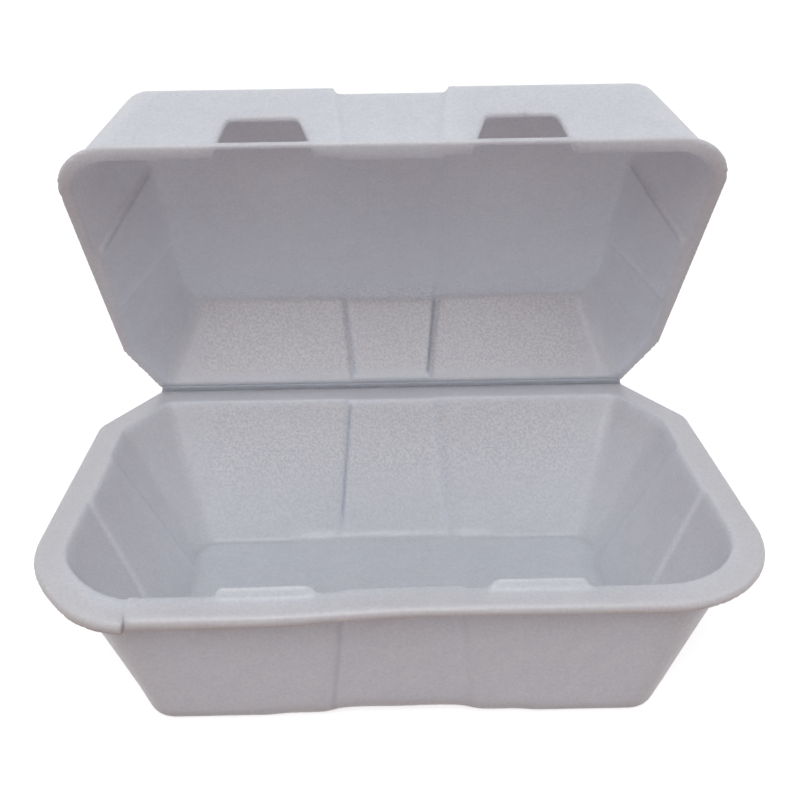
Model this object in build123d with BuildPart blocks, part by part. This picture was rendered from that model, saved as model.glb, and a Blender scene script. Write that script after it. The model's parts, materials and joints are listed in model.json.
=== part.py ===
from build123d import *
from dataclasses import dataclass
from math import hypot
import os

# A hinged takeaway food container, thermoformed in one piece from white
# polystyrene foam sheet. A deep base and a shallower lid share a crease along
# the rear rim. Sizes are in millimetres. Z points up, the base stands on z = 0
# and the lid leans open over it. The origin is the middle of the footprint.

# Foam sheet and crease
sheet = 2.4
crease_sheet = 1.2
crease_bead = 0.6
crease_clearance = 0.3
crease_width = 3.0
hinge_inset = 19.0
closed_gap = 0.3
rest_open_angle = 57.8

# Base rim: a broad flange with a turned down lip
rim_height = 55.1
rim_width = 240.0
rim_depth = 150.5
rim_cut_depth = 32.5
rim_corner_radius = 40.0
rear_corner_radius = 7.0
flange_width = 10.2
rear_shelf = 11.5
lip_wall = 2.3
lip_rounding = 1.5

# Base tub: how far each wall runs inwards for each millimetre of depth
base_side_run = 0.52
base_rear_run = 0.54
base_front_run = 0.11
base_floor_cut = 4.0
base_floor_corner_radius = 9.5
floor_rounding = 1.8

# Lid rim, which lies inside the base rim by a gap at the sides and the front, and tub
lid_side_gap = 9.0
lid_front_gap = 6.0
lid_height = 35.8
lid_cut_depth = 30.0
lid_corner_radius = 21.0
lid_side_flange = 4.6
lid_front_flange = 6.0
lid_rear_shelf = 4.0
lid_side_run = 0.50
lid_rear_run = 0.50
lid_front_run = 0.08
lid_floor_cut = 4.0
lid_floor_corner_radius = 10.0

# Stiffening bands pressed into the walls
base_band_step = 1.0
lid_band_step = 1.4
band_spread = 1.0
base_band_at_rim = 35.6
base_band_at_floor = 46.6
lid_band_at_rim = 31.0
lid_band_at_panel = 40.0
base_end_band_at_rim = (58.0, 87.0)
base_end_band_at_floor = (58.0, 104.0)
lid_end_band_at_rim = (60.0, 92.0)
lid_end_band_at_panel = (60.0, 103.0)

# Two tongues on the base and the slots in the lid that they snap into
latch_spacing = 83.2
slot_foot = 32.6
slot_top = 23.0
slot_height = 18.0
slot_lean = 1.25
slot_front_clearance = 0.4
slot_reach = 12.0
tongue_clearance = 0.75
tongue_height = 3.5
tongue_thickness = 2.0
tongue_slope = 2.8
tongue_lean = 0.6
tongue_lap = 0.4

# Wear: the sagging front lip, the tear through it and two small nicks
lip_depth = 3.2
lip_sag_left = 1.4
lip_sag_right = 0.4
tear_from_side = 36.5
tear_width = 1.6
tear_length = 6.5
tear_drop = 1.2
nick_width = 1.8
nick_depth = 0.9
base_nick_from_front = 53.7
lid_nick_from_front = 22.5
torn_edge_from_middle = 45.0
torn_edge_width = 3.0
torn_edge_height = 1.1

# How far a cutting shape reaches past what it cuts
overshoot = 4.0

axis_height = rim_height + closed_gap / 2
hinge_length = rim_width - 2 * hinge_inset
lid_rim_width = rim_width - 2 * lid_side_gap
lid_rim_depth = rim_depth - lid_front_gap
lid_hinge_inset = hinge_inset - lid_side_gap


@dataclass
class Rim:
    """Half width, rear and front distance from the crease, rear slant and corner radii."""

    half: float
    rear: float
    front: float
    cut: tuple
    corners: tuple


@dataclass
class Tub:
    """Inner rim line, inner depth and the run of each wall towards the floor."""

    rim: Rim
    depth: float
    runs: tuple
    floor_cut: tuple
    floor_corners: tuple

    def at(self, depth):
        """The inner rim line, drawn in by the slope of the walls at a depth."""
        side_run, rear_run, front_run = self.runs
        share = depth / (self.depth + sheet)
        (cut_x, cut_y), (floor_x, floor_y) = self.rim.cut, self.floor_cut
        (rear, front), (floor_rear, floor_front) = self.rim.corners, self.floor_corners
        return Rim(
            self.rim.half - side_run * depth,
            self.rim.rear + rear_run * depth,
            self.rim.front - front_run * depth,
            (cut_x + (floor_x - cut_x) * share, cut_y + (floor_y - cut_y) * share),
            (rear + (floor_rear - rear) * share, front + (floor_front - front) * share),
        )


def inner_cut(width, depth, inset, rear):
    """The rear slant of a line that runs inside the rim at an even distance."""
    slant = hypot(width, depth)
    return (width - inset + (inset * slant - rear * width) / depth,
            depth - rear + (inset * slant - inset * depth) / width)


def outline(plane, rim, grow=0.0):
    """The face inside the closed line of a rim, moved outwards by an even distance."""
    cut_x, cut_y = rim.cut
    slant = hypot(cut_x, cut_y)
    normal_x, normal_y = cut_y / slant, cut_x / slant
    reach = normal_x * rim.half - normal_y * (rim.rear + cut_y) + grow
    side, back, toe = rim.half + grow, grow - rim.rear, -rim.front - grow
    right = [
        ((reach - normal_y * back) / normal_x, back),
        (side, (reach - normal_x * side) / normal_y),
        (side, toe),
    ]
    rear_radius, front_radius = rim.corners
    radii = [rear_radius, rear_radius, front_radius]
    with BuildSketch(plane) as face:
        with BuildLine():
            FilletPolyline(
                *right,
                *[(-x, y) for x, y in reversed(right)],
                radius=radii + radii[::-1],
                close=True,
            )
        make_face()
    return face.sketch


def tub_form(plane, way, tub, grow=0.0, side_sink=0.0, floor_sink=0.0):
    """The solid inside a tub, from its rim plane down, with a rounded floor edge."""
    floor_depth = tub.depth + grow - floor_sink
    top, low = tub.at(0), tub.at(floor_depth)
    spread = hypot(1, tub.runs[0])
    top.half -= side_sink * spread
    low.half -= side_sink * spread
    even = (grow - floor_sink) * spread
    mouth = outline(plane, top, even)
    bottom = outline(plane.offset(way * floor_depth), low, even)
    with BuildPart() as form:
        loft([mouth, bottom], ruled=True)
        floor = form.faces().sort_by(Axis(plane.origin, plane.z_dir * way))[-1]
        fillet(floor.edges(), radius=floor_rounding + grow)
    return form.part


def banded_form(plane, way, tub, step, bands, grow=0.0):
    """A tub's solid with the pressed bands stepped inwards by the same amount."""
    middle, ends = bands
    length = 2 * rim_width
    extra = band_spread if grow == 0 else 0.0
    reach = tub.depth + grow + overshoot
    across = Plane(plane.origin, x_dir=plane.x_dir, z_dir=-plane.y_dir)
    along = Plane(plane.origin, x_dir=plane.y_dir, z_dir=plane.x_dir)
    full = tub_form(plane, way, tub, grow)
    sunk = tub_form(plane, way, tub, grow, floor_sink=step)
    narrow = tub_form(plane, way, tub, grow, side_sink=step)
    with BuildPart() as middle_zone:
        with BuildSketch(across):
            top, low = (width / 2 + extra for width in middle)
            with BuildLine():
                Polyline((-top, 0), (top, 0), (low, way * reach), (-low, way * reach), close=True)
            make_face()
        extrude(amount=length, both=True)
        add(sunk, mode=Mode.SUBTRACT)
    with BuildPart() as end_zone:
        with BuildSketch(along):
            (rear_top, front_top), (rear_low, front_low) = ends
            with BuildLine():
                Polyline(
                    (-rear_top + extra, 0),
                    (-front_top - extra, 0),
                    (-front_low - extra, way * reach),
                    (-rear_low + extra, way * reach),
                    close=True,
                )
            make_face()
        extrude(amount=length, both=True)
        add(narrow, mode=Mode.SUBTRACT)
    with BuildPart() as form:
        add(full)
        add(middle_zone.part, mode=Mode.SUBTRACT)
        add(end_zone.part, mode=Mode.SUBTRACT)
    return form.part


def upright(frame, front):
    """The plane that stands on a rim plane at a distance in front of the crease."""
    return Plane(frame.origin - frame.y_dir * front, x_dir=frame.x_dir, z_dir=-frame.y_dir)


def latch_faces(frame, front, foot, top, height, lean, below=0.0):
    """Two mirrored trapezoids that lean outwards, standing on a rim plane."""
    with BuildSketch(upright(frame, front)) as pair:
        for side in (-1, 1):
            middle = side * latch_spacing / 2
            flare = (foot - top) / 2 / height * below
            drift = -side * lean / height * below
            with BuildLine():
                Polyline(
                    (middle + drift - foot / 2 - flare, -below),
                    (middle + drift + foot / 2 + flare, -below),
                    (middle + side * lean + top / 2, height),
                    (middle + side * lean - top / 2, height),
                    close=True,
                )
            make_face()
    return pair.sketch


def nick(frame, x, y):
    """A small triangular bite with its point inwards of a rim line that runs along Y."""
    outwards = 1 if x > 0 else -1
    with BuildSketch(frame) as face:
        with BuildLine():
            Polyline(
                (x + outwards * nick_depth, y + nick_width),
                (x - outwards * nick_depth, y),
                (x + outwards * nick_depth, y - nick_width),
                close=True,
            )
        make_face()
    return face.sketch


# Both rim lines run on past the crease and are cut off there
base_rim = Rim(
    rim_width / 2, -overshoot, rim_depth,
    inner_cut(hinge_inset, rim_cut_depth, 0, -overshoot),
    (rear_corner_radius, rim_corner_radius),
)
base_tub = Tub(
    Rim(
        rim_width / 2 - flange_width, rear_shelf, rim_depth - flange_width,
        inner_cut(hinge_inset, rim_cut_depth, flange_width, rear_shelf),
        (rear_corner_radius, rim_corner_radius - flange_width),
    ),
    rim_height - sheet,
    (base_side_run, base_rear_run, base_front_run),
    (base_floor_cut, base_floor_cut * rim_cut_depth / hinge_inset),
    (rear_corner_radius, base_floor_corner_radius),
)
lid_rim = Rim(
    lid_rim_width / 2, -overshoot, lid_rim_depth,
    inner_cut(lid_hinge_inset, lid_cut_depth, 0, -overshoot),
    (rear_corner_radius, lid_corner_radius),
)
lid_tub = Tub(
    Rim(
        lid_rim_width / 2 - lid_side_flange, lid_rear_shelf, lid_rim_depth - lid_front_flange,
        inner_cut(lid_hinge_inset, lid_cut_depth, lid_side_flange, lid_rear_shelf),
        (rear_corner_radius, lid_corner_radius - lid_side_flange),
    ),
    lid_height - sheet,
    (lid_side_run, lid_rear_run, lid_front_run),
    (lid_floor_cut, lid_floor_cut * lid_cut_depth / lid_hinge_inset),
    (rear_corner_radius, lid_floor_corner_radius),
)
base_bands = ((base_band_at_rim, base_band_at_floor), (base_end_band_at_rim, base_end_band_at_floor))
lid_bands = ((lid_band_at_rim, lid_band_at_panel), (lid_end_band_at_rim, lid_end_band_at_panel))


def lid_frame(hinge_y):
    """The closed lid's own frame on the crease axis, swung open to its rest angle."""
    closed = Plane((0, hinge_y, axis_height), x_dir=(1, 0, 0), z_dir=(0, 0, 1))
    return closed.rotated((-rest_open_angle, 0, 0))


# The leaning lid reaches behind the crease, so the footprint's middle is found
# from how far its shell comes out there.
trial_shell = tub_form(lid_frame(0).offset(closed_gap / 2), 1, lid_tub, sheet)
rear_reach = trial_shell.bounding_box().max.Y
hinge_y = (rim_depth - rear_reach) / 2

deepest_lip = lip_depth + lip_sag_left + tear_drop + overshoot
tear_x = tear_from_side - rim_width / 2
base_frame = Plane((0, hinge_y, rim_height), x_dir=(1, 0, 0), z_dir=(0, 0, 1))
lid_plane = lid_frame(hinge_y)
lid_under = lid_plane.offset(closed_gap / 2)
tongue_back = rim_depth - flange_width - tongue_lap
slot_front = tongue_back + tongue_thickness + slot_front_clearance
tongue_foot = slot_foot - 2 * tongue_clearance

# The lower edge of the lip sags towards the tear and hangs lower past it
with BuildPart() as under_lip:
    with BuildSketch(Plane.XZ.offset(-hinge_y - overshoot)):
        level = rim_height - lip_depth
        sagging = level - lip_sag_left
        bottom = rim_height - deepest_lip - overshoot
        side = rim_width / 2 + overshoot
        with BuildLine():
            main = Spline(
                (tear_x, sagging),
                (tear_x / 2, sagging + lip_sag_left / 4),
                (0, level),
                (-tear_x / 2, level - lip_sag_right),
                (-tear_x, level - lip_sag_right / 2),
                (side, level),
            )
            Polyline(main @ 1, (side, bottom), (tear_x, bottom), main @ 0)
        make_face()
        with BuildLine():
            torn = Spline(
                (tear_x, sagging - tear_drop),
                (tear_x - flange_width, sagging - tear_drop / 4),
                (flange_width - rim_width / 2, level),
                (-side, level),
            )
            Polyline(torn @ 1, (-side, bottom), (tear_x, bottom), torn @ 0)
        make_face()
    extrude(amount=rim_depth + 2 * overshoot)

with BuildSketch(base_frame.offset(overshoot)) as tear:
    with BuildLine():
        Polyline(
            (tear_x - tear_width, -rim_depth - tear_length),
            (tear_x + tear_width, -rim_depth - tear_length),
            (tear_x, -rim_depth + tear_length),
            close=True,
        )
    make_face()

with BuildPart() as base:
    extrude(outline(base_frame, base_rim), amount=-deepest_lip)
    fillet(base.faces().sort_by(Axis.Z)[-1].edges(), radius=lip_rounding)
    under_flange = outline(base_frame.offset(-sheet), base_rim, -lip_wall)
    extrude(under_flange, amount=-deepest_lip, mode=Mode.SUBTRACT)
    add(under_lip.part, mode=Mode.SUBTRACT)
    with Locations(base_frame):
        Box(
            rim_width, rim_depth, 2 * deepest_lip,
            align=(Align.CENTER, Align.MIN, Align.CENTER), mode=Mode.SUBTRACT,
        )
    with Locations(base_frame.offset(-crease_sheet)):
        Box(
            rim_width, 2 * crease_width, deepest_lip,
            align=(Align.CENTER, Align.CENTER, Align.MAX), mode=Mode.SUBTRACT,
        )
    add(banded_form(base_frame, -1, base_tub, base_band_step, base_bands, sheet))
    add(banded_form(base_frame, -1, base_tub, base_band_step, base_bands), mode=Mode.SUBTRACT)
    with Locations(Plane((0, hinge_y, axis_height), z_dir=(1, 0, 0))):
        Cylinder(crease_bead, hinge_length)
    tongues = latch_faces(
        base_frame, tongue_back, tongue_foot, tongue_foot - tongue_slope,
        tongue_height, tongue_lean, sheet / 2,
    )
    extrude(tongues, amount=tongue_thickness)
    extrude(tear.sketch, amount=-2 * deepest_lip, mode=Mode.SUBTRACT)
    base_nick = nick(base_frame.offset(overshoot), rim_width / 2, base_nick_from_front - rim_depth)
    extrude(base_nick, amount=-2 * deepest_lip, mode=Mode.SUBTRACT)
base.part.label = "base"

with BuildSketch(upright(lid_under, slot_front)) as torn_edge:
    with BuildLine():
        Polyline(
            (torn_edge_from_middle - torn_edge_width, slot_height - torn_edge_height),
            (torn_edge_from_middle - torn_edge_width / 2, slot_height + torn_edge_height),
            (torn_edge_from_middle, slot_height + torn_edge_height / 2),
            (torn_edge_from_middle + torn_edge_width, slot_height - torn_edge_height),
            close=True,
        )
    make_face()

with BuildPart() as lid:
    extrude(outline(lid_under, lid_rim), amount=sheet)
    flange_top = lid.faces().sort_by(Axis(lid_under.origin, lid_under.z_dir))[-1]
    fillet(flange_top.edges(), radius=lip_rounding)
    add(banded_form(lid_under, 1, lid_tub, lid_band_step, lid_bands, sheet))
    add(banded_form(lid_under, 1, lid_tub, lid_band_step, lid_bands), mode=Mode.SUBTRACT)
    behind_crease = lid_under.origin - lid_under.y_dir * (crease_bead + crease_clearance)
    with Locations(Plane(behind_crease, x_dir=lid_under.x_dir, z_dir=lid_under.z_dir)):
        Box(
            lid_rim_width, lid_rim_depth, 2 * lid_height,
            align=(Align.CENTER, Align.MIN, Align.CENTER), mode=Mode.SUBTRACT,
        )
    slots = latch_faces(lid_under, slot_front, slot_foot, slot_top, slot_height, slot_lean, sheet)
    extrude(slots, amount=-slot_reach, mode=Mode.SUBTRACT)
    extrude(torn_edge.sketch, amount=-slot_reach, mode=Mode.SUBTRACT)
    lid_nick = nick(lid_under.offset(-overshoot), -lid_rim_width / 2, lid_nick_from_front - lid_rim_depth)
    extrude(lid_nick, amount=sheet + 2 * overshoot, mode=Mode.SUBTRACT)
lid.part.label = "lid"

os.makedirs("parts", exist_ok=True)
export_step(base.part, "parts/base.step")
export_step(lid.part, "parts/lid.step")
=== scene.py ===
import json
import math

import bpy
from mathutils import Euler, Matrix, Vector, noise


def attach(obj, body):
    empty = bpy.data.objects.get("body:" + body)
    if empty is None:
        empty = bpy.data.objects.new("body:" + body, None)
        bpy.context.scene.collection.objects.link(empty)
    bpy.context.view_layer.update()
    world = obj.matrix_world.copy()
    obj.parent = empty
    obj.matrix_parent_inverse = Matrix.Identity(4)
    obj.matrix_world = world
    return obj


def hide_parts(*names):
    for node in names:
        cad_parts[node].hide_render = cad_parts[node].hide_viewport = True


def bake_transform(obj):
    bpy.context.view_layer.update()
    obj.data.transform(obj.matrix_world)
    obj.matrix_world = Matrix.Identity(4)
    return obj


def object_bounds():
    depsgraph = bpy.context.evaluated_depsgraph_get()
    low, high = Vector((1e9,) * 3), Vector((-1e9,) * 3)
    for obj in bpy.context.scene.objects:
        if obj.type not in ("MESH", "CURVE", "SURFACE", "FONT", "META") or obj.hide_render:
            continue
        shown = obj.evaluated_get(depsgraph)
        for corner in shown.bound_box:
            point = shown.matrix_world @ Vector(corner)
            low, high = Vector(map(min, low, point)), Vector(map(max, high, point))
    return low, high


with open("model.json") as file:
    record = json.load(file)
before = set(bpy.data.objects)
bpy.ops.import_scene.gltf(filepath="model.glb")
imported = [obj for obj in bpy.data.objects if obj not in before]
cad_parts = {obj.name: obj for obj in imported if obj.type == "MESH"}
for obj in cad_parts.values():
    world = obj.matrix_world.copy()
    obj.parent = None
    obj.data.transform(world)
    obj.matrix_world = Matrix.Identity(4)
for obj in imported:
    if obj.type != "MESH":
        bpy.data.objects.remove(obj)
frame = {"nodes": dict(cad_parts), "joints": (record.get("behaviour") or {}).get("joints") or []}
cad_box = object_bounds()


# The base: a deep tray with a broad flange and a turned down lip. The real one
# is foam sheet, heated and drawn over a mould, so that every edge comes out
# soft and no wall is quite flat. Its front lip has sagged near the tear.
HINGE_Y, HINGE_Z = frame["joints"][0]["pos_m"][1:]
HINGE_OVER_RIM = 0.00015
HINGE_TO_FRONT = 0.1505
RIM_Z = HINGE_Z - HINGE_OVER_RIM
FRONT_Y = HINGE_Y - HINGE_TO_FRONT
FOAM_CELL = 0.0009
FOAM_FACES = 190000
EDGE_ROUNDS = 2
MERGE_WITHIN = 1e-6
TEAR_X = -0.0835
TEAR_HALF_WIDTH = 0.0003
LIP_SAG = 0.0022
TORN_DROP = 0.0016
WALL_WAVE = 0.0005
WAVE_LENGTH = 0.045


def foam_copy(node, name):
    """A merged copy of a CAD node, built again from even quads with soft edges."""
    bpy.ops.object.select_all(action="DESELECT")
    skin = bpy.data.objects.new(name, frame["nodes"][node].data.copy())
    skin.data.name = name
    skin.data.materials.clear()
    bpy.context.scene.collection.objects.link(skin)
    skin.select_set(True)
    bpy.context.view_layer.objects.active = skin
    bpy.ops.object.mode_set(mode="EDIT")
    bpy.ops.mesh.select_all(action="SELECT")
    bpy.ops.mesh.remove_doubles(threshold=MERGE_WITHIN)
    bpy.ops.object.mode_set(mode="OBJECT")
    remesh = skin.modifiers.new("even_quads", "REMESH")
    remesh.mode = "VOXEL"
    remesh.voxel_size = FOAM_CELL
    bpy.ops.object.modifier_apply(modifier=remesh.name)
    round_off = skin.modifiers.new("soft_edges", "SMOOTH")
    round_off.factor = 0.5
    round_off.iterations = EDGE_ROUNDS
    bpy.ops.object.modifier_apply(modifier=round_off.name)
    thin = skin.modifiers.new("fewer_faces", "DECIMATE")
    thin.ratio = FOAM_FACES / (2 * len(skin.data.polygons))
    bpy.ops.object.modifier_apply(modifier=thin.name)
    bpy.ops.object.shade_smooth()
    return skin


def smooth_step(start, end, value):
    """Goes softly from 0 where the value is at the start to 1 at the end."""
    share = min(max((value - start) / (end - start), 0.0), 1.0)
    return share * share * (3 - 2 * share)


base_skin = foam_copy("base", "base_foam")
for vertex in base_skin.data.vertices:
    x, y, z = vertex.co
    # the front flange sags on the left, most of all at the tear
    near_front = smooth_step(FRONT_Y + 0.022, FRONT_Y + 0.001, y)
    on_flange = smooth_step(RIM_Z - 0.008, RIM_Z - 0.003, z)
    left = smooth_step(0.01, -0.05, x) * smooth_step(-0.122, -0.100, x)
    past_tear = smooth_step(TEAR_X + TEAR_HALF_WIDTH, TEAR_X - TEAR_HALF_WIDTH, x)
    sag = LIP_SAG * left + TORN_DROP * past_tear * left
    vertex.co.z -= sag * near_front * on_flange
    # slow unevenness of the drawn walls, the same on both faces of the sheet,
    # which leaves the flange flat so that the lid shuts on it
    drift = noise.noise_vector(Vector((x, y, z)) / WAVE_LENGTH)
    keep = (smooth_step(0.0, 0.02, HINGE_Y - y) * smooth_step(0.001, 0.012, z)
            * smooth_step(RIM_Z - 0.005, RIM_Z - 0.015, z))
    vertex.co += drift * WALL_WAVE * keep
base_skin.data.update()


def soften(skin, share_at, rounds):
    """Blurs the skin's form where the share, from 0 to 1, says so."""
    group = skin.vertex_groups.new(name="softened")
    for vertex in skin.data.vertices:
        share = share_at(vertex)
        if share > 0.01:
            group.add([vertex.index], share, "REPLACE")
    blur = skin.modifiers.new("soften", "SMOOTH")
    blur.factor = 0.5
    blur.iterations = rounds
    blur.vertex_group = group.name
    bpy.context.view_layer.objects.active = skin
    bpy.ops.object.modifier_apply(modifier=blur.name)
    skin.vertex_groups.remove(skin.vertex_groups["softened"])


# the middle band fades out on the floor, less on the front wall, and the tops
# of the two latch tongues are rounded
BAND_ROUNDS = 80
FRONT_SOFTNESS = 0.08
TONGUE_SOFTNESS = 0.25


def base_softness(vertex):
    x, y, z = vertex.co
    middle = smooth_step(0.046, 0.036, abs(x))
    on_floor = (smooth_step(0.007, 0.004, z) * smooth_step(-0.079, -0.070, y)
                * smooth_step(0.034, 0.026, y))
    on_front = (smooth_step(0.003, 0.008, z) * smooth_step(0.046, 0.040, z)
                * smooth_step(-0.055, -0.062, y))
    behind_lip = (smooth_step(FRONT_Y + 0.006, FRONT_Y + 0.010, y)
                  * smooth_step(FRONT_Y + 0.028, FRONT_Y + 0.022, y))
    above_flange = smooth_step(RIM_Z + 0.0006, RIM_Z + 0.0018, z)
    tongues = behind_lip * above_flange * smooth_step(0.090, 0.082, abs(x))
    return max(middle * on_floor, FRONT_SOFTNESS * middle * on_front, TONGUE_SOFTNESS * tongues)


soften(base_skin, base_softness, BAND_ROUNDS)

# the tear is a narrow wedge right through the lip and the edge of the flange
WEDGE_REACH = 0.0045
WEDGE_HEIGHT = 0.02
WEDGE_NARROWING = 0.34
WEDGE_PLACE = (TEAR_X, FRONT_Y - 0.0007, RIM_Z - 0.002)

bpy.ops.object.select_all(action="DESELECT")
bpy.ops.mesh.primitive_cylinder_add(vertices=3, radius=WEDGE_REACH, depth=WEDGE_HEIGHT,
                                    location=WEDGE_PLACE)
wedge = bpy.context.object
bpy.ops.object.mode_set(mode="EDIT")
bpy.ops.mesh.select_all(action="SELECT")
bpy.ops.transform.resize(value=(WEDGE_NARROWING, 1.0, 1.0), center_override=wedge.location)
bpy.ops.object.mode_set(mode="OBJECT")
bpy.ops.object.select_all(action="DESELECT")
base_skin.select_set(True)
bpy.context.view_layer.objects.active = base_skin
tear = base_skin.modifiers.new("tear", "BOOLEAN")
tear.operation = "DIFFERENCE"
tear.object = wedge
bpy.ops.object.modifier_apply(modifier=tear.name)
bpy.data.objects.remove(wedge)


def mark(skin, name, share_at):
    """Stores a share from 0 to 1 at each point, for the material to read."""
    shares = skin.data.attributes.new(name, "FLOAT", "POINT")
    shares.data.foreach_set("value", [share_at(vertex.co) for vertex in skin.data.vertices])


def ridge(offset, half_width):
    """Is 1 on a line and falls away to 0 on both sides of it."""
    return math.exp(-(offset / half_width) ** 2)


# on the rear wall, and faintly on the front, the middle band's edge steps get
# painted shade as dark lines, the left one darkest, and on the rear wall the
# sheet is stretched so far that its beads show, most near the rim
BAND_AT_RIM = 0.0178
BAND_WIDENING = 0.097
STEP_SHADE_HALF_WIDTH = 0.0009


def base_step_shade(point):
    depth = RIM_Z - point.z
    edge = BAND_AT_RIM + BAND_WIDENING * depth
    on_rear = (smooth_step(0.0005, 0.003, depth) * smooth_step(0.025, 0.032, point.y)
               * smooth_step(0.001, 0.005, point.z))
    on_front = smooth_step(0.004, 0.008, depth) * smooth_step(-0.060, -0.066, point.y)
    left, right = (ridge(point.x + side * edge, STEP_SHADE_HALF_WIDTH) for side in (1, -1))
    return on_rear * (0.9 * left + 0.3 * right) + on_front * (0.3 * left + 0.1 * right)


def base_beads(point):
    on_rear = smooth_step(0.024, 0.034, point.y) * smooth_step(0.090, 0.070, abs(point.x))
    near_rim = 0.35 + 0.65 * smooth_step(0.020, 0.036, point.z)
    return on_rear * near_rim * smooth_step(RIM_Z, RIM_Z - 0.004, point.z)


mark(base_skin, "step_shade", base_step_shade)
mark(base_skin, "beads", base_beads)


def srgb(code):
    """A hex colour as linear red, green, blue and alpha."""
    parts = (int(code[i:i + 2], 16) / 255 for i in (1, 3, 5))
    return (*(c / 12.92 if c <= 0.04045 else ((c + 0.055) / 1.055) ** 2.4 for c in parts), 1.0)


def add_node(tree, kind, settings=None, inputs=None):
    """A node with its settings, its socket values and the links into it."""
    node = tree.nodes.new(kind)
    for key, value in (settings or {}).items():
        setattr(node, key, value)
    for key, value in (inputs or {}).items():
        if isinstance(value, bpy.types.NodeSocket):
            tree.links.new(value, node.inputs[key])
        else:
            node.inputs[key].default_value = value
    return node


def two_tone(tree, share, start, end):
    """A ramp between two colours, each given as a position and a hex code."""
    ramp = add_node(tree, "ShaderNodeValToRGB", None, {"Fac": share})
    for stop, (position, code) in zip(ramp.color_ramp.elements, (start, end)):
        stop.position = position
        stop.color = srgb(code)
    return ramp.outputs["Color"]


# Expanded polystyrene sheet: cool white, half matt, thin enough for light to
# come through, with a grain of cells and beads as specks, and painted shade as
# dark grey lines along the band-edge steps. Real cells are 0.2 mm across, drawn at 0.9 mm so that
# they show.
CELL = 0.0009
SPECK = 0.0010
GRAIN = 0.0016
MOTTLE = 0.008


def polystyrene_foam(name, tint, shade, step_shade_colour, speck_shade):
    material = bpy.data.materials.new(name)
    material.use_nodes = True
    tree = material.node_tree
    tree.nodes.clear()
    place = add_node(tree, "ShaderNodeTexCoord").outputs["Object"]
    cells = add_node(tree, "ShaderNodeTexVoronoi", {"feature": "F1"},
                     {"Vector": place, "Scale": 1 / CELL, "Randomness": 1.0})
    grain = add_node(tree, "ShaderNodeTexNoise", None,
                     {"Vector": place, "Scale": 1 / GRAIN, "Detail": 3.0, "Roughness": 0.6})
    mottle = add_node(tree, "ShaderNodeTexNoise", None,
                      {"Vector": place, "Scale": 1 / MOTTLE, "Detail": 3.0, "Roughness": 0.55})
    speckle = add_node(tree, "ShaderNodeTexNoise", None,
                       {"Vector": place, "Scale": 1 / SPECK, "Detail": 1.0, "Roughness": 0.5})
    cloud = add_node(tree, "ShaderNodeMix", None,
                     {0: 0.65, 2: mottle.outputs["Fac"], 3: speckle.outputs["Fac"]})
    colour = two_tone(tree, cloud.outputs[0], (0.35, shade), (0.65, tint))
    specks = two_tone(tree, speckle.outputs["Fac"], (0.38, speck_shade), (0.62, "#FFFFFF"))
    # the marks of the skins lay first the specks over it, then the painted shade of the band-edge
    # steps as dark lines
    for mark_name, strength, over in (("beads", 0.5, specks), ("step_shade", 0.8, srgb(step_shade_colour))):
        marked = add_node(tree, "ShaderNodeAttribute", {"attribute_name": mark_name})
        share = add_node(tree, "ShaderNodeMath", {"operation": "MULTIPLY"},
                         {0: marked.outputs["Fac"], 1: strength})
        colour = add_node(tree, "ShaderNodeMix", {"data_type": "RGBA"},
                          {0: share.outputs[0], 6: colour, 7: over}).outputs[2]
    waves = add_node(tree, "ShaderNodeBump", None,
                     {"Height": mottle.outputs["Fac"], "Strength": 0.35, "Distance": 0.0003})
    rough = add_node(tree, "ShaderNodeBump", None,
                     {"Height": grain.outputs["Fac"], "Strength": 0.5, "Distance": 0.0003,
                      "Normal": waves.outputs["Normal"]})
    pits = add_node(tree, "ShaderNodeBump", None,
                    {"Height": cells.outputs["Distance"], "Strength": 0.35, "Distance": 0.00012,
                     "Normal": rough.outputs["Normal"]})
    polish = add_node(tree, "ShaderNodeMapRange", None,
                      {"Value": grain.outputs["Fac"], "From Min": 0.3, "From Max": 0.7,
                       "To Min": 0.34, "To Max": 0.46})
    surface = add_node(tree, "ShaderNodeBsdfPrincipled", None,
                       {"Base Color": colour, "Roughness": polish.outputs["Result"],
                        "Normal": pits.outputs["Normal"], "IOR": 1.5,
                        "Coat Weight": 0.35, "Coat Roughness": 0.2,
                        "Subsurface Weight": 0.85, "Subsurface Radius": (1.0, 1.0, 1.0),
                        "Subsurface Scale": 0.012})
    add_node(tree, "ShaderNodeOutputMaterial", None, {"Surface": surface.outputs["BSDF"]})
    return material


# the dark grey #7C828C is painted shade for the lines along the band-edge steps
foam = polystyrene_foam("moulded_polystyrene_foam", tint="#EEF3FC", shade="#E3E9F4",
                        step_shade_colour="#7C828C", speck_shade="#D0D4DC")
base_skin.data.materials.append(foam)
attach(base_skin, "base")
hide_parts("base")


# The lid: a shallower tub of the same sheet, drawn in one piece with the base
# and swung open about the crease. Its two slots are punched out of the front
# wall, and its edges are as soft as those of the base.
OPEN_ANGLE = math.radians(57.8)
hinge = Vector((0, HINGE_Y, HINGE_Z))
lid_way = Vector((0, -math.cos(OPEN_ANGLE), math.sin(OPEN_ANGLE)))
lid_up = Vector((0, math.sin(OPEN_ANGLE), math.cos(OPEN_ANGLE)))
WAVE_SHIFT = 0.3


def out_and_height(point):
    """How far a point of the lid is out from the hinge and above the rim."""
    return (point - hinge).dot(lid_way), (point - hinge).dot(lid_up)


# uneven as the base is, but true at its rim and its slots
lid_skin = foam_copy("lid", "lid_foam")
for vertex in lid_skin.data.vertices:
    x, y, z = vertex.co
    out, height = out_and_height(vertex.co)
    drift = noise.noise_vector(Vector((x + WAVE_SHIFT, y, z)) / WAVE_LENGTH)
    keep = smooth_step(0.005, 0.015, height) * smooth_step(0.128, 0.114, out)
    high = smooth_step(0.0, 0.01, cad_box[1].z - z)
    vertex.co += drift * WALL_WAVE * keep * high
lid_skin.data.update()

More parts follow.
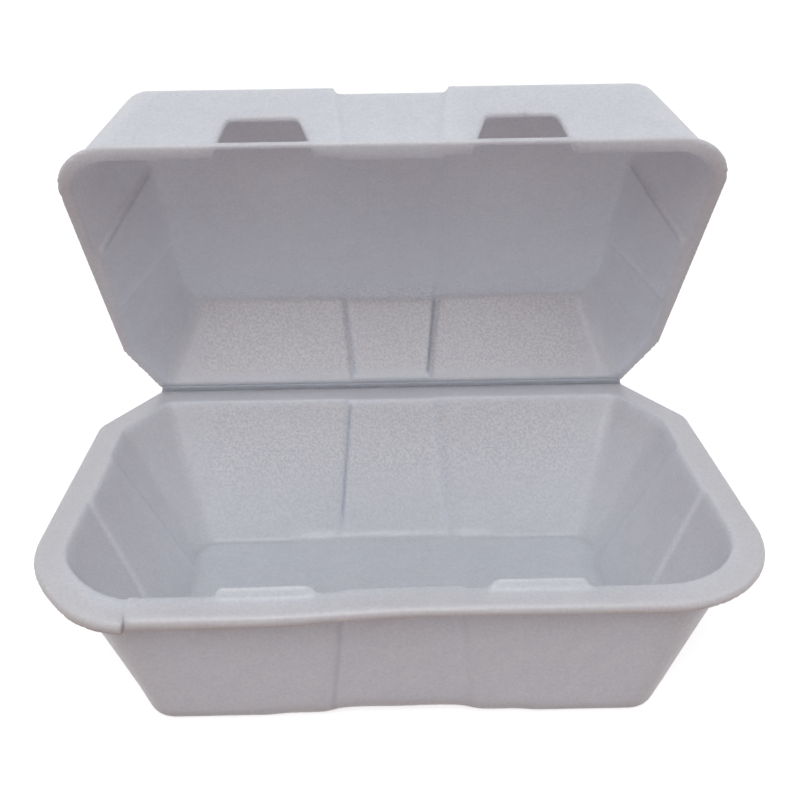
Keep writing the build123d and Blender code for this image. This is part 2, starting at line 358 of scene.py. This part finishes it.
# painted shade as dark lines at its middle band's edge steps, darkest at the right, and at the
# front steps of its end bands
LID_BAND_AT_RIM = 0.0155
LID_BAND_WIDENING = 0.12
LID_PANEL_HEIGHT = 0.033
END_BAND_FRONT = 0.092
END_BAND_SLANT = 0.29


def lid_step_shade(point):
    out, height = out_and_height(point)
    edge = LID_BAND_AT_RIM + LID_BAND_WIDENING * height
    on_panel = smooth_step(LID_PANEL_HEIGHT - 0.003, LID_PANEL_HEIGHT, height)
    above_rim = smooth_step(0.001, 0.004, height)
    on_rear = smooth_step(0.034, 0.028, out)
    middle = (0.6 * ridge(point.x + edge, STEP_SHADE_HALF_WIDTH)
              + ridge(point.x - edge, STEP_SHADE_HALF_WIDTH)) * (1 - on_panel) * on_rear
    on_side = smooth_step(0.080, 0.086, abs(point.x)) * (1 - on_panel)
    front = END_BAND_FRONT + END_BAND_SLANT * height
    return above_rim * (middle + 0.5 * on_side * ridge(out - front, STEP_SHADE_HALF_WIDTH))


def lid_beads(point):
    out, height = out_and_height(point)
    on_rear = smooth_step(0.034, 0.026, out) * smooth_step(0.088, 0.078, abs(point.x))
    return on_rear * smooth_step(0.003, 0.006, height) * smooth_step(0.035, 0.031, height)


# inside, the band fades out on the flat panel
def lid_softness(vertex):
    out, height = out_and_height(vertex.co)
    faces_in = smooth_step(-0.6, -0.9, vertex.normal.dot(lid_up))
    on_panel = smooth_step(0.028, 0.031, height)
    along = smooth_step(0.020, 0.028, out) * smooth_step(0.137, 0.128, out)
    return faces_in * on_panel * along * smooth_step(0.046, 0.036, abs(vertex.co.x))


soften(lid_skin, lid_softness, BAND_ROUNDS)
mark(lid_skin, "step_shade", lid_step_shade)
mark(lid_skin, "beads", lid_beads)
lid_skin.data.materials.append(foam)
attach(lid_skin, "lid")
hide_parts("lid")


# The crease: where base and lid meet, the sheet is pressed thin along a line,
# which leaves a small round bead inside the fold and a thin skin outside it,
# bent round to the angle at which the lid stands open.
CREASE_LENGTH = 0.2005
SKIN_RADIUS = 0.00115
SKIN_THICKNESS = 0.0005
SKIN_ROUNDING = 0.0002
BEND_STEPS = 12
FLAP = 0.0022
ON_AXIS = 1e-5
BEAD_RADIUS = 0.0008
BEAD_ROUNDING = 0.0003

bpy.ops.object.select_all(action="DESELECT")
bpy.ops.mesh.primitive_grid_add(
    x_subdivisions=60, y_subdivisions=3, size=1.0,
    location=hinge + Vector((0, -FLAP / 2, -SKIN_RADIUS)))
fold = bpy.context.object
fold.name = fold.data.name = "crease_skin"
bpy.ops.object.mode_set(mode="EDIT")
bpy.ops.mesh.select_all(action="SELECT")
bpy.ops.transform.resize(value=(CREASE_LENGTH, FLAP, 1.0), center_override=fold.location)
bpy.ops.mesh.select_all(action="DESELECT")
bpy.ops.object.mode_set(mode="OBJECT")
for edge in fold.data.edges:
    ends = [fold.matrix_world @ fold.data.vertices[i].co for i in edge.vertices]
    edge.select = all(abs(end.y - HINGE_Y) < ON_AXIS for end in ends)
bpy.ops.object.mode_set(mode="EDIT")
bpy.ops.mesh.select_mode(type="EDGE")
bpy.ops.mesh.spin(steps=BEND_STEPS, angle=math.pi - OPEN_ANGLE, center=hinge, axis=(1, 0, 0))
bpy.ops.mesh.extrude_region_move(TRANSFORM_OT_translate={"value": lid_way * FLAP})
bpy.ops.mesh.select_all(action="SELECT")
bpy.ops.mesh.remove_doubles(threshold=MERGE_WITHIN)
bpy.ops.mesh.normals_make_consistent(inside=False)
bpy.ops.object.mode_set(mode="OBJECT")
bpy.ops.object.transform_apply(location=True, rotation=True, scale=True)
thicken = fold.modifiers.new("sheet", "SOLIDIFY")
thicken.thickness = SKIN_THICKNESS
thicken.offset = 0.0
bpy.ops.object.modifier_apply(modifier=thicken.name)
round_off = fold.modifiers.new("rounded", "BEVEL")
round_off.width = SKIN_ROUNDING
round_off.segments = 2
bpy.ops.object.modifier_apply(modifier=round_off.name)
bpy.ops.object.shade_smooth()
fold.data.materials.append(foam)
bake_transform(fold)

bpy.ops.object.select_all(action="DESELECT")
bpy.ops.mesh.primitive_cylinder_add(vertices=24, radius=BEAD_RADIUS, depth=CREASE_LENGTH,
                                    location=hinge, rotation=(0, math.pi / 2, 0))
bead = bpy.context.object
bead.name = bead.data.name = "crease_bead"
bpy.ops.object.transform_apply(location=True, rotation=True, scale=True)
bpy.ops.object.mode_set(mode="EDIT")
bpy.ops.mesh.select_all(action="SELECT")
bpy.ops.mesh.subdivide(number_cuts=1)
bpy.ops.object.mode_set(mode="OBJECT")
soft_ends = bead.modifiers.new("soft_ends", "BEVEL")
soft_ends.width = BEAD_ROUNDING
soft_ends.segments = 3
soft_ends.limit_method = "ANGLE"
bpy.ops.object.modifier_apply(modifier=soft_ends.name)
bpy.ops.object.shade_smooth()
bead.data.materials.append(foam)
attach(bead, "base")


# A plain pale floor, wide enough for the lowest camera. The camera sees it
# white with the foam's soft shadow on it, and the light it throws back onto
# the outer walls has a warm tone, as from a brown table.
FLOOR_WIDTH = 12.0
FLOOR_DROP = 0.0003


def seen_directly(tree):
    """Is 1 for rays from the camera and for those mirrored or let through."""
    path = add_node(tree, "ShaderNodeLightPath")
    share = path.outputs["Is Camera Ray"]
    for kind in ("Is Glossy Ray", "Is Transmission Ray"):
        share = add_node(tree, "ShaderNodeMath", {"operation": "MAXIMUM"},
                         {0: share, 1: path.outputs[kind]}).outputs[0]
    return share


bpy.ops.object.select_all(action="DESELECT")
bpy.ops.mesh.primitive_plane_add(size=FLOOR_WIDTH, location=(0, 0, -FLOOR_DROP))
floor = bpy.context.object
floor.name = "floor"
floor_paint = bpy.data.materials.new("pale_matt_floor")
floor_paint.use_nodes = True
tree = floor_paint.node_tree
tree.nodes.clear()
bounce = add_node(tree, "ShaderNodeBsdfDiffuse", None, {"Color": srgb("#7A4826")})
matt = add_node(tree, "ShaderNodeBsdfDiffuse", None, {"Color": srgb("#DCDCDC")})
white = add_node(tree, "ShaderNodeEmission", None, {"Color": srgb("#FFFFFF"), "Strength": 0.72})
shown = add_node(tree, "ShaderNodeAddShader", None, {0: matt.outputs[0], 1: white.outputs[0]})
ground = add_node(tree, "ShaderNodeMixShader", None,
                  {0: seen_directly(tree), 1: bounce.outputs[0], 2: shown.outputs[0]})
add_node(tree, "ShaderNodeOutputMaterial", None, {"Surface": ground.outputs[0]})
floor.data.materials.append(floor_paint)


# Soft studio light: a sky that is pale overhead and dim and warm low down, as
# round a table in a room, and one wide soft lamp above the front.
LAMP_SIZE = 0.9
LAMP_WATTS = 7.0
LAMP_PLACE = (-0.10, -0.84, 1.17)
LAMP_AIM = (0, 0, 0.05)

world = bpy.data.worlds.new("studio")
bpy.context.scene.world = world
world.use_nodes = True
tree = world.node_tree
tree.nodes.clear()
upward = add_node(tree, "ShaderNodeTexCoord").outputs["Generated"]
upward = add_node(tree, "ShaderNodeSeparateXYZ", None, {"Vector": upward}).outputs["Z"]
glow = two_tone(tree, upward, (0.0, "#705444"), (0.7, "#F4F7FF"))
sky = add_node(tree, "ShaderNodeBackground", None, {"Color": glow, "Strength": 0.58})
backdrop = add_node(tree, "ShaderNodeBackground", None, {"Color": srgb("#FFFFFF"), "Strength": 1.0})
mixed = add_node(tree, "ShaderNodeMixShader", None,
                 {0: seen_directly(tree), 1: sky.outputs[0], 2: backdrop.outputs[0]})
add_node(tree, "ShaderNodeOutputWorld", None, {"Surface": mixed.outputs[0]})

lamp_data = bpy.data.lights.new("front_softbox", "AREA")
lamp_data.shape = "SQUARE"
lamp_data.size = LAMP_SIZE
lamp_data.energy = LAMP_WATTS
lamp = bpy.data.objects.new("front_softbox", lamp_data)
bpy.context.scene.collection.objects.link(lamp)
lamp.location = LAMP_PLACE
lamp.rotation_euler = (Vector(LAMP_AIM) - lamp.location).to_track_quat("-Z", "Y").to_euler()


# The camera stands where the photograph was taken from, its lens axis a little
# above and left of the picture's middle. Lengths in the picture are in pixels.
PICTURE = 800
FOCAL_LENGTH = 949.27
AXIS_ACROSS, AXIS_DOWN = 380.3, 345.66
CAMERA_ACROSS, CAMERA_FORWARD, CAMERA_OVER_RIM = -0.00701, 0.37604, 0.18366
TURN, LOOK_DOWN, ROLL = -0.36, 23.58, -0.86

camera_data = bpy.data.cameras.new("camera")
camera_data.sensor_width = 36.0
camera_data.lens = FOCAL_LENGTH / PICTURE * camera_data.sensor_width
camera_data.shift_x = (PICTURE / 2 - AXIS_ACROSS) / PICTURE
camera_data.shift_y = (AXIS_DOWN - PICTURE / 2) / PICTURE
camera_data.clip_start = 0.01
camera_data.clip_end = 20.0
camera = bpy.data.objects.new("camera", camera_data)
bpy.context.scene.collection.objects.link(camera)
camera.location = (CAMERA_ACROSS, HINGE_Y - CAMERA_FORWARD, RIM_Z + CAMERA_OVER_RIM)
turn = Euler((0, 0, math.radians(TURN))).to_matrix()
tilt = Euler((math.radians(90 - LOOK_DOWN), 0, 0)).to_matrix()
roll = Euler((0, 0, math.radians(ROLL))).to_matrix()
camera.rotation_euler = (turn @ tilt @ roll).to_euler()
bpy.context.scene.camera = camera
bpy.context.scene.view_settings.view_transform = "Standard"
